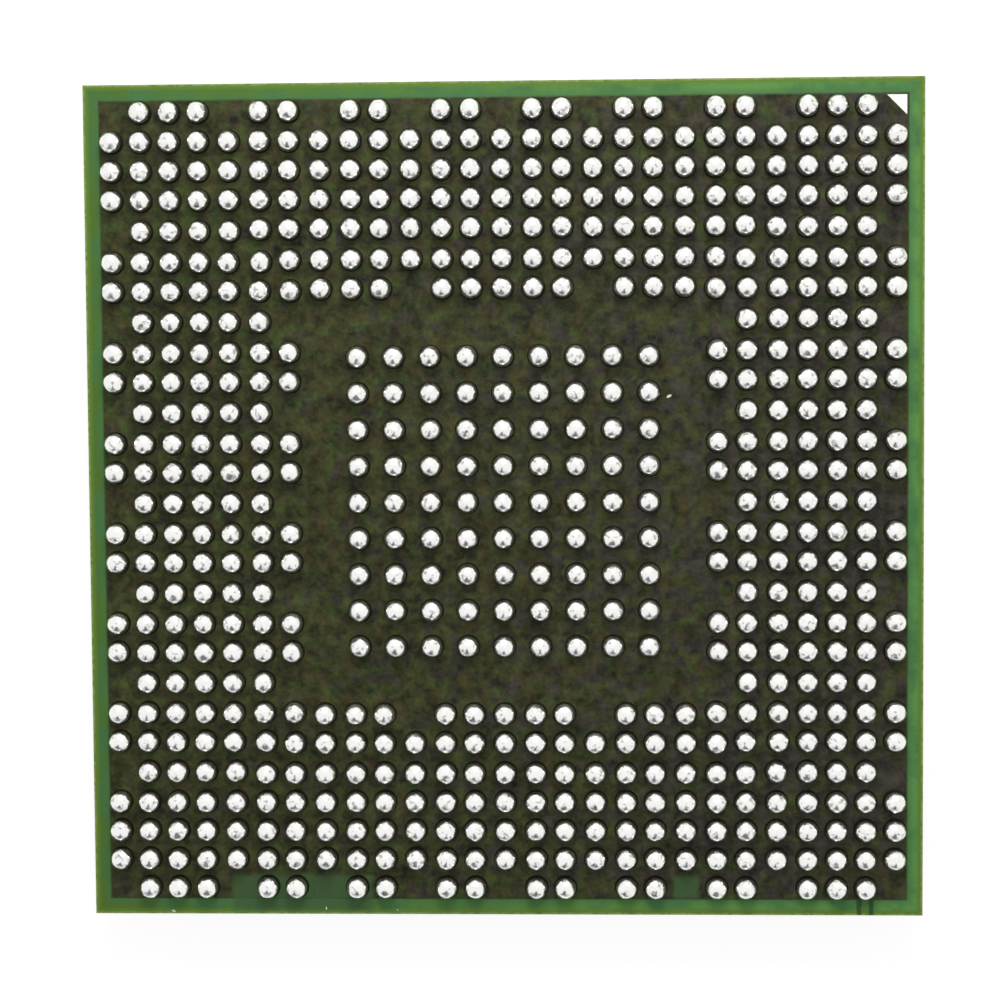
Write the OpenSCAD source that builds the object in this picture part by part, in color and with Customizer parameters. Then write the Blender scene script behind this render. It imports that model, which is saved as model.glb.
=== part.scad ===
// Flip-chip ball grid array package with a ring of balls, a bare moat and a centre array.
// It lies on the bare back of its silicon die, with the solder balls pointing up (+Z).
// Origin: middle of the footprint, on the back face of the die. Index corner at +X +Y.
// Millimetres throughout.

/* [Substrate] */
// Side of the square substrate
body_side = 23; // [22.6:0.1:25]
// Thickness of the glass-epoxy core
core_thick = 0.8; // [0.4:0.05:1.2]
// Thickness of each build-up film, outside the inner copper
film_thick = 0.07; // [0.05:0.005:0.12]
// Thickness of every copper layer
copper_thick = 0.02; // [0.015:0.001:0.035]
// Thickness of the solder mask over copper
mask_thick = 0.025; // [0.018:0.001:0.04]
// Drop of the mask surface where no copper lies under it
mask_dip = 0.012; // [0.004:0.001:0.016]
// Bare border between the copper planes and the edge of the substrate
plane_setback = 0.45; // [0.3:0.05:0.6]

/* [Ball grid] */
// Pitch of neighbouring lines of balls without a routing channel between them
fine_pitch = 0.8; // [0.76:0.01:0.81]
// Pitch of neighbouring lines of balls across a routing channel
channel_pitch = 0.846; // [0.82:0.002:0.86]
// Pitch of the centre array
centre_pitch = 1; // [0.85:0.01:1.1]

/* [Solder balls] */
// Diameter of a solder ball
ball_d = 0.6; // [0.54:0.01:0.66]
// Diameter of the mask opening that a ball sits in
ball_opening_d = 0.5; // [0.4:0.01:0.52]
// Diameter of the copper pad under a ball
ball_pad_d = 0.6; // [0.56:0.01:0.64]
// Gap between a ball pad and the copper plane around it
pad_clear = 0.06; // [0.04:0.005:0.08]

/* [Microvias] */
// Diameter of a ball pad's microvia at the pad
microvia_d = 0.12; // [0.1:0.01:0.16]
// Diameter of a ball pad's microvia at its foot
microvia_foot_d = 0.09; // [0.06:0.01:0.1]
// Diameter of a bump pad's microvia at the pad
fine_microvia_d = 0.07; // [0.06:0.005:0.09]
// Diameter of a bump pad's microvia at its foot
fine_microvia_foot_d = 0.05; // [0.03:0.005:0.06]

/* [Plated holes in the core] */
// Pitch of the plated holes
hole_pitch = 1.5; // [1:0.05:1.8]
// Outer diameter of a plated barrel
barrel_d = 0.2; // [0.16:0.01:0.26]
// Thickness of the copper plated onto a hole's wall
barrel_wall = 0.025; // [0.015:0.005:0.04]
// Diameter of the land at each end of a barrel
land_d = 0.32; // [0.28:0.01:0.4]
// Gap between a signal barrel's land and the inner plane
land_clear = 0.06; // [0.04:0.005:0.1]

/* [Silicon die] */
// Length of the die along X
die_x = 9.2; // [7:0.1:11]
// Width of the die along Y
die_y = 8.6; // [7:0.1:11]
// Thickness of the die
die_thick = 0.775; // [0.6:0.025:0.9]
// Gap between the face of the die and the solder mask
stand_off = 0.075; // [0.06:0.005:0.09]
// Pitch of the solder bumps
bump_pitch = 0.6; // [0.5:0.05:0.8]
// Diameter of a solder bump at its middle
bump_d = 0.12; // [0.1:0.005:0.16]
// Diameter of a solder bump where it meets the die, and of its opening in the mask
bump_seat_d = 0.09; // [0.07:0.005:0.1]
// Diameter of the copper pad under a bump
bump_pad_d = 0.13; // [0.12:0.01:0.16]
// Least distance from a bump's centre to the edge of the die
bump_edge = 0.3; // [0.2:0.05:0.6]
// How far the underfill spreads beyond the die
underfill_spread = 0.7; // [0.4:0.05:1]
// How far the underfill climbs up the sides of the die
underfill_climb = 0.45; // [0.3:0.05:0.55]
// How far the die-side copper plane stays clear of the outer bumps
window_clear = 0.3; // [0.2:0.05:0.5]

/* [Capacitors] */
// Length of a capacitor
cap_l = 1; // [0.8:0.05:1.2]
// Width of a capacitor
cap_w = 0.5; // [0.4:0.05:0.6]
// Height of a capacitor
cap_h = 0.5; // [0.4:0.05:0.55]
// Length of the metal cap on each end of a capacitor
cap_end = 0.22; // [0.15:0.01:0.3]
// Thickness of the metal on a capacitor's ends
cap_plating = 0.02; // [0.015:0.005:0.04]
// Spacing of neighbouring capacitors along one side of the die
cap_pitch = 2.4; // [1.8:0.1:3]
// Distance from the die to the middle of a row of capacitors
cap_offset = 1.7; // [1.5:0.1:3]
// Length of the solder in front of a capacitor's end
cap_toe = 0.2; // [0.12:0.01:0.3]
// Thickness of the solder between a capacitor and the mask surface
cap_lift = 0.02; // [0.01:0.005:0.04]
// Gap between a capacitor's pad and the copper plane around it
cap_pad_clear = 0.1; // [0.08:0.01:0.2]

/* [Marks] */
// Leg of the tinned index triangle on the ball side
index_leg = 0.54; // [0.3:0.02:0.6]
// Distance from the index triangle to the edge of the copper plane
index_inset = 0.04; // [0.02:0.01:0.08]
// Height of the tinned triangle above the mask
index_proud = 0.01; // [0.005:0.005:0.02]
// Leg of the ink triangle on the die side
ink_leg = 0.9; // [0.5:0.1:1.2]
// Distance from the ink triangle to the edges of the substrate
ink_inset = 0.6; // [0.4:0.1:1]
// Thickness of the ink
ink_thick = 0.015; // [0.01:0.005:0.03]
// Width of each plating tail at the edge
tail_w = 0.13; // [0.08:0.01:0.16]
// Gap between the two plating tails
tail_gap = 0.2; // [0.12:0.01:0.3]
// Width of a notch in the edge of the ball-side plane
notch_w = 0.76; // [0.5:0.02:0.8]
// Depth of a notch in the edge of the ball-side plane
notch_depth = 0.66; // [0.4:0.02:0.7]

/* [Hidden] */
$fn = 48;
// Lines of the grid are counted from the middle line, 0, outwards on both sides
last_line = 13;
first_line = 7;
last_channel = 10;
centre_last = 4;
row_letters = ["a", "b", "c", "d", "e", "f", "g", "h", "j", "k", "l", "m", "n", "p",
    "r", "t", "u", "v", "w", "y", "aa", "ab", "ac", "ad", "ae", "af", "ag"];
// Plated holes stand in a square of this many each way
hole_row = 10;
// Bumps up to this many pitches from the middle of the die bring in its power
power_bumps = 3;
// Capacitors stand in rows of this many, one row along each side of the die
cap_row = 3;
// The pads of these lines are left out along the index-free edge, with a notch in the plane
notch_lines = [-9, -6, 6];
// The two plating tails stand below this line
tail_line = 12;

// Heights of the layers, from the back of the die up to the balls
z_die_face = die_thick;
z_die_mask = z_die_face + stand_off;
z_die_copper = z_die_mask + mask_thick;
z_die_film = z_die_copper + copper_thick;
z_die_inner = z_die_film + film_thick;
z_core = z_die_inner + copper_thick;
z_core_top = z_core + core_thick;
z_ball_inner = z_core_top + copper_thick;
z_ball_film = z_ball_inner + film_thick;
z_ball_copper = z_ball_film + copper_thick;
z_ball_mask = z_ball_copper + mask_thick;
// Height of a ball's middle above the mask, where the ball is as wide as its opening
ball_rise = sqrt(pow(ball_d / 2, 2) - pow(ball_opening_d / 2, 2));
body_half = body_side / 2;
plane_half = body_half - plane_setback;
antipad_d = ball_pad_d + 2 * pad_clear;
land_hole_d = land_d + 2 * land_clear;
bumps_x = floor((die_x / 2 - bump_edge) / bump_pitch);
bumps_y = floor((die_y / 2 - bump_edge) / bump_pitch);
window_x = 2 * (bumps_x * bump_pitch + window_clear);
window_y = 2 * (bumps_y * bump_pitch + window_clear);
cap_pad_l = cap_end + cap_toe;
// Overshoot of a cut past the face that it opens
cut = 0.5;

function ring_row_node(i) = str("balls_row_", row_letters[i]);
function centre_row_node(i) = str("centre_balls_row_", i + 1);

// ---- Places of the balls ----

// Two of every three gaps up to the last channel are channels
function gap(k) = k <= last_channel && k % 3 < 2 ? channel_pitch : fine_pitch;
// Distance of line k from the middle, along an edge of the ring
function line_at(k) = k < 1 ? 0 : line_at(k - 1) + gap(k);
// Distance of line k from the middle, across the ring: one channel, outside line 8
function ring_at(k) = line_at(last_line) - (last_line - k) * fine_pitch
    - (k <= 8 ? channel_pitch - fine_pitch : 0);
function site_x(c, r) = sign(c) * (abs(c) > abs(r) ? ring_at(abs(c)) : line_at(abs(c)));
function site_y(c, r) = sign(r) * (abs(r) > abs(c) ? ring_at(abs(r)) : line_at(abs(r)));
// The outermost line has no ball on every third line, nor at the corners
function outer_gap(o) = o == last_line || (o < last_line - 3 && o % 3 == 0);
// The innermost line has fewer gaps along X than along Y
function inner_gap(c, r) = abs(r) == first_line ? abs(c) == 3 : abs(r) % 3 == 0;
function has_ball(c, r) = let(far = max(abs(c), abs(r)), near = min(abs(c), abs(r)))
    far >= first_line
    && !(far == last_line && outer_gap(near))
    && !(far == first_line && inner_gap(c, r));
ring_sites = [for (r = [-last_line : last_line]) for (c = [-last_line : last_line])
    if (has_ball(c, r)) [site_x(c, r), site_y(c, r)]];
centre_sites = [for (r = [-centre_last : centre_last]) for (c = [-centre_last : centre_last])
    centre_pitch * [c, r]];
ball_sites = concat(ring_sites, centre_sites);
// Plated holes, all of them or only those whose indices add up to an odd or an even number
function hole_sites(parities) = [for (j = [0 : hole_row - 1]) for (i = [0 : hole_row - 1])
    for (parity = parities) if ((i + j) % 2 == parity)
        hole_pitch * [i - (hole_row - 1) / 2, j - (hole_row - 1) / 2]];
all_holes = hole_sites([0, 1]);
ground_holes = hole_sites([0]);
signal_holes = hole_sites([1]);
function is_power(i, j) = max(abs(i), abs(j)) <= power_bumps;
power_sites = [for (j = [-bumps_y : bumps_y]) for (i = [-bumps_x : bumps_x])
    if (is_power(i, j)) bump_pitch * [i, j]];
signal_bump_sites = [for (j = [-bumps_y : bumps_y]) for (i = [-bumps_x : bumps_x])
    if (!is_power(i, j)) bump_pitch * [i, j]];
bump_sites = concat(power_sites, signal_bump_sites);

module at_each(sites) {
    for (p = sites) translate(p) children();
}

// A square slab of the substrate's or another size, centred on the axis
module slab(side, z, thick) {
    translate([-side / 2, -side / 2, z]) cube([side, side, thick]);
}

module discs(sites, d) {
    at_each(sites) circle(d = d);
}

// ---- Solder balls ----

// A reflowed ball: its neck fills the mask opening down to the pad
module ball() {
    translate([0, 0, z_ball_copper]) cylinder(d = ball_opening_d, h = mask_thick);
    difference() {
        translate([0, 0, z_ball_mask + ball_rise]) sphere(d = ball_d);
        translate([0, 0, z_ball_mask - ball_d]) cylinder(d = 2 * ball_d, h = ball_d);
    }
}

module ring_row(i) {
    r = last_line - i;
    color("gainsboro")
        for (c = [-last_line : last_line])
            if (has_ball(c, r)) translate([site_x(c, r), site_y(c, r)]) ball();
}

module centre_row(i) {
    color("gainsboro")
        for (c = [-centre_last : centre_last])
            translate(centre_pitch * [c, centre_last - i]) ball();
}

// ---- Ball side of the substrate ----

// The ball-side plane's outline: a square with notches in the edge at -Y
module ball_plane_outline() {
    difference() {
        square(2 * plane_half, center = true);
        for (k = notch_lines)
            translate([sign(k) * line_at(abs(k)) - notch_w / 2, -plane_half - cut])
                square([notch_w, notch_depth + cut]);
    }
}

module ball_plane_pattern() {
    difference() {
        ball_plane_outline();
        discs(ball_sites, antipad_d);
    }
}

// Index triangle, with its right angle in the corner at +X +Y
module index_outline() {
    far = plane_half - index_inset;
    polygon([[far, far], [far - index_leg, far], [far, far - index_leg]]);
}

// Two short traces that once carried the plating current in from the panel
module tails_outline() {
    for (side = [-1, 1])
        translate([line_at(tail_line) + side * (tail_gap + tail_w) / 2, -(plane_half + body_half) / 2])
            square([tail_w, plane_setback], center = true);
}

module ball_side_plane() {
    color("darkgoldenrod")
        translate([0, 0, z_ball_film]) linear_extrude(copper_thick) ball_plane_pattern();
}

// A filled microvia, down from its pad to the inner copper
module microvia(foot_d, top_d) {
    translate([0, 0, -film_thick]) cylinder(d1 = foot_d, d2 = top_d, h = film_thick);
}

// The centre array's microvias lead its power and ground to the inner plane
module centre_microvias() {
    at_each(centre_sites) translate([0, 0, z_ball_film]) microvia(microvia_foot_d, microvia_d);
}

// The centre array's pads are one piece of copper with their microvias
module ball_pads() {
    color("goldenrod") {
        at_each(ball_sites) translate([0, 0, z_ball_film]) cylinder(d = ball_pad_d, h = copper_thick);
        centre_microvias();
    }
}

module plating_tails() {
    color("darkgoldenrod")
        translate([0, 0, z_ball_film]) linear_extrude(copper_thick) tails_outline();
}

module ball_side_mask() {
    color("darkolivegreen")
        difference() {
            union() {
                slab(body_side, z_ball_film, copper_thick + mask_thick - mask_dip);
                translate([0, 0, z_ball_film])
                    linear_extrude(copper_thick + mask_thick) ball_plane_outline();
            }
            translate([0, 0, z_ball_film]) linear_extrude(copper_thick) ball_plane_pattern();
            translate([0, 0, z_ball_film]) linear_extrude(copper_thick) tails_outline();
            translate([0, 0, z_ball_film]) linear_extrude(copper_thick) discs(ball_sites, ball_pad_d);
            translate([0, 0, z_ball_copper]) linear_extrude(cut) discs(ball_sites, ball_opening_d);
            translate([0, 0, z_ball_copper]) linear_extrude(cut) index_outline();
        }
}

module index_triangle() {
    color("whitesmoke")
        translate([0, 0, z_ball_copper]) linear_extrude(mask_thick + index_proud) index_outline();
}

module ball_side_film() {
    color("olivedrab")
        difference() {
            slab(body_side, z_core_top, copper_thick + film_thick);
            translate([0, 0, z_core_top]) linear_extrude(copper_thick) inner_plane_pattern();
            translate([0, 0, z_core_top]) linear_extrude(copper_thick) discs(all_holes, land_d);
            centre_microvias();
        }
}

// ---- Core ----

// An inner plane joins the ground barrels at their lands and clears the signal ones
module inner_plane_pattern() {
    difference() {
        square(2 * plane_half, center = true);
        discs(ground_holes, land_d);
        discs(signal_holes, land_hole_d);
    }
}

module ball_side_inner_plane() {
    color("peru")
        translate([0, 0, z_core_top]) linear_extrude(copper_thick) inner_plane_pattern();
}

module die_side_inner_plane() {
    color("peru")
        translate([0, 0, z_die_inner]) linear_extrude(copper_thick) inner_plane_pattern();
}

module core() {
    color("darkkhaki")
        difference() {
            slab(body_side, z_core, core_thick);
            at_each(all_holes)
                translate([0, 0, z_core - cut]) cylinder(d = barrel_d, h = core_thick + 2 * cut);
        }
}

// A barrel with a land at each end, all one piece of plated copper
module core_barrels() {
    color("sandybrown")
        at_each(all_holes) rotate_extrude() polygon([
            [barrel_d / 2 - barrel_wall, z_die_inner],
            [land_d / 2, z_die_inner],
            [land_d / 2, z_core],
            [barrel_d / 2, z_core],
            [barrel_d / 2, z_core_top],
            [land_d / 2, z_core_top],
            [land_d / 2, z_ball_inner],
            [barrel_d / 2 - barrel_wall, z_ball_inner]]);
}

// Resin that fills each barrel
module barrel_plugs() {
    color("dimgray")
        at_each(all_holes)
            translate([0, 0, z_die_inner])
                cylinder(d = barrel_d - 2 * barrel_wall, h = z_ball_inner - z_die_inner);
}

// ---- Die side of the substrate ----

module die_window() {
    square([window_x, window_y], center = true);
}

// The capacitors' places: rows along the four sides of the die, each with its length along the row
module at_capacitors() {
    for (side = [-1, 1]) for (i = [0 : cap_row - 1]) {
        along = (i - (cap_row - 1) / 2) * cap_pitch;
        translate([along, side * (die_y / 2 + cap_offset)]) children();
        translate([side * (die_x / 2 + cap_offset), along]) rotate(90) children();
    }
}

// The pads of one capacitor, grown by a margin
module cap_pad_outline(margin) {
    for (side = [-1, 1])
        translate([side * (cap_l + cap_toe - cap_end) / 2, 0])
            square([cap_pad_l + 2 * margin, cap_w + 2 * margin], center = true);
}

module cap_pads_outline(margin) {
    at_capacitors() cap_pad_outline(margin);
}

module die_plane_pattern() {
    difference() {
        square(2 * plane_half, center = true);
        die_window();
        cap_pads_outline(cap_pad_clear);
    }
}

module die_side_plane() {
    color("darkgoldenrod")
        translate([0, 0, z_die_copper]) linear_extrude(copper_thick) die_plane_pattern();
}

// The power bumps' microvias, up from their pads to the inner plane
module power_microvias() {
    at_each(power_sites) translate([0, 0, z_die_film]) mirror([0, 0, 1])
        microvia(fine_microvia_foot_d, fine_microvia_d);
}

module bump_pads() {
    color("goldenrod") {
        at_each(bump_sites) translate([0, 0, z_die_copper]) cylinder(d = bump_pad_d, h = copper_thick);
        power_microvias();
    }
}

module capacitor_pads() {
    color("goldenrod")
        translate([0, 0, z_die_copper]) linear_extrude(copper_thick) cap_pads_outline(0);
}

module die_side_film() {
    color("olivedrab")
        difference() {
            slab(body_side, z_die_film, film_thick + copper_thick);
            translate([0, 0, z_die_inner]) linear_extrude(copper_thick) inner_plane_pattern();
            translate([0, 0, z_die_inner]) linear_extrude(copper_thick) discs(all_holes, land_d);
            power_microvias();
        }
}

module die_side_mask() {
    color("darkgreen")
        difference() {
            union() {
                slab(body_side, z_die_mask + mask_dip, copper_thick + mask_thick - mask_dip);
                translate([0, 0, z_die_mask])
                    linear_extrude(copper_thick + mask_thick) square(2 * plane_half, center = true);
            }
            translate([0, 0, z_die_copper]) linear_extrude(copper_thick) die_plane_pattern();
            translate([0, 0, z_die_copper]) linear_extrude(copper_thick) cap_pads_outline(0);
            translate([0, 0, z_die_copper]) linear_extrude(copper_thick) discs(bump_sites, bump_pad_d);
            translate([0, 0, z_die_copper - cut]) linear_extrude(cut) discs(bump_sites, bump_seat_d);
            translate([0, 0, z_die_copper - cut]) linear_extrude(cut) cap_pads_outline(0);
        }
}

module die_side_index() {
    far = body_half - ink_inset;
    color("whitesmoke")
        translate([0, 0, z_die_mask - ink_thick]) linear_extrude(ink_thick)
            polygon([[far, far], [far - ink_leg, far], [far, far - ink_leg]]);
}

// ---- Die ----

module silicon_die() {
    color("slategray")
        translate([-die_x / 2, -die_y / 2, 0]) cube([die_x, die_y, die_thick]);
}

// A bump bulges between the die and the mask, and fills its opening down to the pad
module bump() {
    rotate_extrude() polygon([
        [0, z_die_face],
        [bump_seat_d / 2, z_die_face],
        [bump_d / 2, z_die_face + stand_off / 2],
        [bump_seat_d / 2, z_die_mask],
        [bump_seat_d / 2, z_die_copper],
        [0, z_die_copper]]);
}

module die_bumps() {
    color("silver") at_each(bump_sites) bump();
}

// Slope of the underfill: out from the die along X, up from the mask along Y
module fillet_profile() {
    // The slope hollows by a circle through its two ends
    slope_r = 2 * (underfill_spread + underfill_climb);
    chord = norm([underfill_spread, stand_off + underfill_climb]);
    rise = sqrt(slope_r * slope_r - chord * chord / 4);
    out = [stand_off + underfill_climb, underfill_spread] / chord;
    difference() {
        polygon([[0, 0], [underfill_spread, 0], [0, stand_off + underfill_climb]]);
        translate([underfill_spread, stand_off + underfill_climb] / 2 + rise * out)
            circle(r = slope_r, $fn = 96);
    }
}

// The slope stands on the mask surface, which faces down
module underfill_slope() {
    translate([0, 0, z_die_mask]) mirror([0, 0, 1]) children();
}

module underfill() {
    color("darkslategray")
        difference() {
            union() {
                translate([-die_x / 2, -die_y / 2, z_die_face]) cube([die_x, die_y, stand_off]);
                for (turn = [0, 180]) rotate(turn) underfill_slope() {
                    translate([die_x / 2, die_y / 2, 0]) rotate([90, 0, 0])
                        linear_extrude(die_y) fillet_profile();
                    translate([die_x / 2, die_y / 2, 0]) rotate([90, 0, 90]) mirror([0, 0, 1])
                        linear_extrude(die_x) fillet_profile();
                    translate([die_x / 2, die_y / 2, 0]) rotate_extrude(angle = 90) fillet_profile();
                    translate([-die_x / 2, die_y / 2, 0]) rotate(90)
                        rotate_extrude(angle = 90) fillet_profile();
                }
            }
            at_each(bump_sites) bump();
        }
}

// ---- Capacitors ----

// Stands a capacitor's own height off the mask, away from the substrate
module from_mask() {
    translate([0, 0, z_die_mask]) mirror([0, 0, 1]) children();
}

module box_between(size, z, height) {
    translate([-size[0] / 2, -size[1] / 2, z]) cube([size[0], size[1], height]);
}

module cap_body() {
    box_between([cap_l - 2 * cap_plating, cap_w - 2 * cap_plating],
        cap_lift + cap_plating, cap_h - 2 * cap_plating);
}

module capacitor_bodies() {
    color("tan") from_mask() at_capacitors() cap_body();
}

module capacitor_ends() {
    color("lightgray") from_mask() at_capacitors()
        difference() {
            for (side = [-1, 1])
                translate([side * (cap_l - cap_end) / 2, 0]) box_between([cap_end, cap_w], cap_lift, cap_h);
            cap_body();
        }
}

// Solder fills the mask opening, carries the end and slopes up its face
module capacitor_joints() {
    toe = cap_l / 2 + cap_toe;
    color("silver") from_mask() at_capacitors()
        for (side = [0, 180]) rotate(side) translate([0, cap_w / 2, 0]) rotate([90, 0, 0])
            linear_extrude(cap_w) polygon([
                [cap_l / 2 - cap_end, -mask_thick],
                [toe, -mask_thick],
                [toe, 0],
                [cap_l / 2 + cap_toe / 4, cap_h / 4],
                [cap_l / 2, cap_h / 2],
                [cap_l / 2, cap_lift],
                [cap_l / 2 - cap_end, cap_lift]]);
}

silicon_die();
die_bumps();
underfill();
die_side_mask();
die_side_index();
bump_pads();
capacitor_pads();
die_side_plane();
die_side_film();
die_side_inner_plane();
core();
core_barrels();
barrel_plugs();
ball_side_inner_plane();
ball_side_film();
ball_side_plane();
ball_pads();
plating_tails();
ball_side_mask();
index_triangle();
capacitor_bodies();
capacitor_ends();
capacitor_joints();
for (i = [0 : 2 * last_line])
    ring_row(i);
for (i = [0 : 2 * centre_last])
    centre_row(i);
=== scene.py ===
import math
import random

import bpy
from bpy.props import FloatProperty, FloatVectorProperty, IntProperty, PointerProperty
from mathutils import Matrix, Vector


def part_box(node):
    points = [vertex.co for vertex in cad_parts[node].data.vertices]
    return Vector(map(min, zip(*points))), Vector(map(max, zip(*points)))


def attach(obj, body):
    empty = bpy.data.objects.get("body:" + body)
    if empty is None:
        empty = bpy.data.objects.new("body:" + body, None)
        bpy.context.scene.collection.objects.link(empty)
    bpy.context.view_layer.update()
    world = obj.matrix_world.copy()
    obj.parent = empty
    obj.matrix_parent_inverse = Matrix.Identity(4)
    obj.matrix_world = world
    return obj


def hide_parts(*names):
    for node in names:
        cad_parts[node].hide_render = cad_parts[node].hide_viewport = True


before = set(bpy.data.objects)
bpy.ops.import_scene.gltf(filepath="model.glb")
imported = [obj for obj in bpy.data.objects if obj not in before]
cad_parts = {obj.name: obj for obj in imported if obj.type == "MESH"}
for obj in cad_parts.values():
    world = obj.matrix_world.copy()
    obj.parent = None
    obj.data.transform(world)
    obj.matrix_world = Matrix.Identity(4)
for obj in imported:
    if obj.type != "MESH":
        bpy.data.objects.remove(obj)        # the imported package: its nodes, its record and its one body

bl_info = {
    "name": "Ball Grid Package",
    "version": (1, 0, 0),
    "blender": (4, 5, 0),
    "location": "3D View > Sidebar > Package",
    "description": "Reflowed balls, finishes and studio for a flip-chip ball grid package",
    "category": "Object",
}

MM = 0.001
UM = 0.000001

# The ball grid, by the same rule as the solid model. Its lines are counted from the middle
FINE_PITCH = 0.8 * MM
CHANNEL_PITCH = 0.846 * MM
CENTRE_PITCH = 1.0 * MM
LAST_LINE = 13           # the outermost line of the ring
FIRST_LINE = 7           # the innermost line of the ring
LAST_CHANNEL = 10        # along an edge, no channel lies outside this line
RING_CHANNEL = 8         # across the ring, its one channel lies just outside this line
CENTRE_LAST = 4          # the outermost line of the centre array
ROW_LETTERS = "a b c d e f g h j k l m n p r t u v w y aa ab ac ad ae af ag".split()

# The full shoulder of a ball and how far a dent spreads, as shares of the ball's radius
SHOULDER_LOW = 0.3
SHOULDER_HIGH = 0.95
DENT_REACH = 0.4
DENTS = 3
SHALLOWEST_DENT = 0.3    # as a share of the dent depth

# The steps of a dark ring towards its ball, flux residue and painted contact shadow together: each one's
# width as a share of its reach, and its climb
SHADOW_RING_STEPS = ((0.4, 4 * UM), (1.3, 14 * UM))
SHADOW_RING_LIFT = 1 * UM
SHADOW_RING_RAGGED = 5 * UM

# The marks in the ball-side copper along the edge at -Y: two gaps in the plane, and two tails
LONG_GAP_LINES = (9, 5)
LONG_GAP_MARGIN = 0.15 * MM
SHORT_GAP_LINE = 6
SHORT_GAP_WIDTH = 0.72 * MM
GAP_DEPTH = 0.66 * MM    # from the plane's edge inwards
GAP_TO_CUT = 0.1 * MM    # from the sawn edge to where the long gap shows
TAIL_WIDTH = 0.14 * MM

# How much of the ball-side mask's triangles its lighter copy keeps
MASK_SHARE = 0.65

# Where soft edges in the mask begin and where they are full, as distances inside the plane's edge
COPPER_SPAN = (-0.03 * MM, 0.025 * MM)
# The next two spans paint shade just outside the plane's edge: a narrow dark shadow line, and a wider
# band of darker teal, a bluer tone with painted shade in it
EDGE_SHADOW_SPAN = (-0.055 * MM, -0.01 * MM)
BESIDE_SPAN = (-0.26 * MM, 0.0)
# The same as distances inside the sawn edge
RIM_SPAN = (0.2 * MM, 0.07 * MM)
FRAY_SPAN = (0.075 * MM, 0.015 * MM)

# Where the flakes lie, as shares of the half side along X and Y, and their shape
FLAKE_PLACES = ((0.396, 0.25), (-0.81, -0.994), (-0.437, -0.986), (-0.264, -0.99))
FLAKE_SHRINK = 0.2       # how much shorter each flake is than the one before, as a share of the first
FLAKE_DROP = 8 * UM      # how much lower the flakes on the border lie
FLAKE_CORNERS = 8
FLAKE_SLIMNESS = 0.5     # width as a share of the length
FLAKE_TOP = (0.8, 0.75)  # the upper face as shares of the lower one
FLAKE_RAGGED = 0.08      # as a share of the length

# Metals inside the package, bright and dull
SOLDER_TONES = ((0.8, 0.79, 0.77), (0.5, 0.5, 0.48))
DULL_TIN = (0.7, 0.69, 0.66)

# The dark card in the studio that the balls mirror, in radians: its turn from -Y towards -X, the
# height of its top edge, its half width there, and how fast that grows towards the floor
CARD_TURN = 0.16
CARD_TOP = 1.32
CARD_NECK = 0.24
CARD_FLARE = 0.14
CARD_SIDE_SPAN = (-0.05, 0.08)
CARD_TOP_SPAN = (0.0, 0.22)
CARD_FOOT_SPAN = (0.16, 0.34)
# Its lighter middle, by the distance from its side and from its top
MIDDLE_SIDE_SPAN = (0.1, 0.26)
MIDDLE_TOP_SPAN = (0.2, 0.5)
MIDDLE_TONE = (0.15, 0.15, 0.13)
# The faint cool haze around the card, by the distance aside and by the height
HAZE_SIDE_SPAN = (1.1, 0.3)
HAZE_HEIGHT_SPAN = (0.8, 0.2)
HAZE_TONE = (0.6, 0.64, 0.72)

# The floor, the lamp behind the package, and the camera, which looks almost straight down
FLOOR_SIDE = 2.0
FLOOR_DROP = 2 * UM
LAMP_PLACE = (2 * MM, 42 * MM, 40 * MM)
LAMP_TILT = math.radians(-46)
LAMP_SIDE = 30 * MM
CAMERA_PLACE = (2.871 * MM, 4.266 * MM, 70.557 * MM)
CAMERA_TURN = (math.radians(-3.529), math.radians(2.455), math.radians(-0.395))
SENSOR_WIDTH = 36


def tone(code):
    """The linear colour of a six-figure colour code."""
    parts = [int(code[i:i + 2], 16) / 255 for i in (0, 2, 4)]
    return tuple(c / 12.92 if c <= 0.04045 else ((c + 0.055) / 1.055) ** 2.4 for c in parts)


def scaled(colour, factor):
    """A colour made darker or lighter by a factor."""
    return tuple(factor * c for c in colour)


def colour_property(name, description, code):
    """A colour that shows in the panel, with its usual value as a six-figure code."""
    return FloatVectorProperty(
        name=name, description=description, default=tone(code), subtype="COLOR", size=3, min=0, max=1
    )


def length_property(name, description, default):
    """A length in metres that shows in the panel."""
    return FloatProperty(
        name=name, description=description, default=default, min=0, unit="LENGTH", precision=6
    )


def count_property(name, description, default, low=0, high=64):
    """A whole number that shows in the panel."""
    return IntProperty(name=name, description=description, default=default, min=low, max=high)


# ---------------------------------------------------------------- settings


class SolderSettings(bpy.types.PropertyGroup):
    """Sizes and finish of the solder balls."""

    ball_radius: length_property("Ball radius", "Radius of a reflowed ball", 0.2985 * MM)
    shoulder: FloatProperty(
        name="Shoulder", description="How full the ball's shoulder is", default=1.045, min=1
    )
    unevenness: length_property("Unevenness", "How far a ball is out of round", 6.5 * UM)
    dent_depth: length_property("Dent depth", "Depth of the dents left by handling", 18 * UM)
    ball_sides: count_property("Ball sides", "Faces round a ball", 16, 8, 24)
    ball_rings: count_property("Ball rings", "Rings up a ball", 8, 6, 16)
    shapes: count_property("Ball shapes", "Different balls that are modelled", 9, 1)
    seed: count_property("Seed", "Which uneven shapes and turns the balls take", 7)
    metal: colour_property("Solder", "Colour of the bare solder", "f4f3f0")
    dull: colour_property("Dull solder", "Colour of the scuffed and dulled solder", "b9b8b4")
    # The dark ring round each ball is partly flux residue and partly a painted contact shadow on the mask
    shadow_ring_reach: length_property(
        "Residue reach", "How far the flux residue reaches from a ball", 36 * UM
    )
    shadow_ring_sides: count_property("Residue sides", "Faces round a residue ring", 16, 8)
    residue: colour_property("Flux residue", "Colour of the flux residue round a ball", "201e15")


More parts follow.
